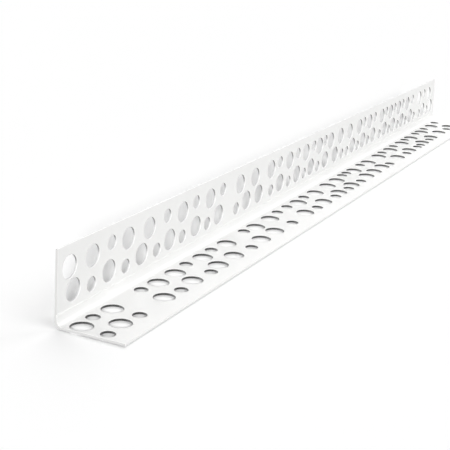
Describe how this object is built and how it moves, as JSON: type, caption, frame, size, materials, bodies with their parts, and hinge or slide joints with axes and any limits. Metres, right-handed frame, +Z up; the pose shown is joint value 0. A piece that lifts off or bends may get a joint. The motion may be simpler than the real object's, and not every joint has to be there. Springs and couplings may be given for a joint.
{
  "type": "drywall corner bead",
  "caption": "Straight white plastic corner bead: two thin legs at a right angle joined by a rounded nose, each leg punched with rows of large and small round holes",
  "frame": {"origin": "on the floor under the middle of the outer box, the flat leg's underside at z = 0", "axes": "+X along the bead, +Y from the free edge of the flat leg towards the back of the upright leg, +Z up along the upright leg"},
  "size_m": [0.368, 0.0248, 0.0247],
  "materials": {
    "white_pvc": "extruded, smooth and matt"
  },
  "bodies": {
    "root": {"corner_bead": "white_pvc"}
  },
  "joints": []
}
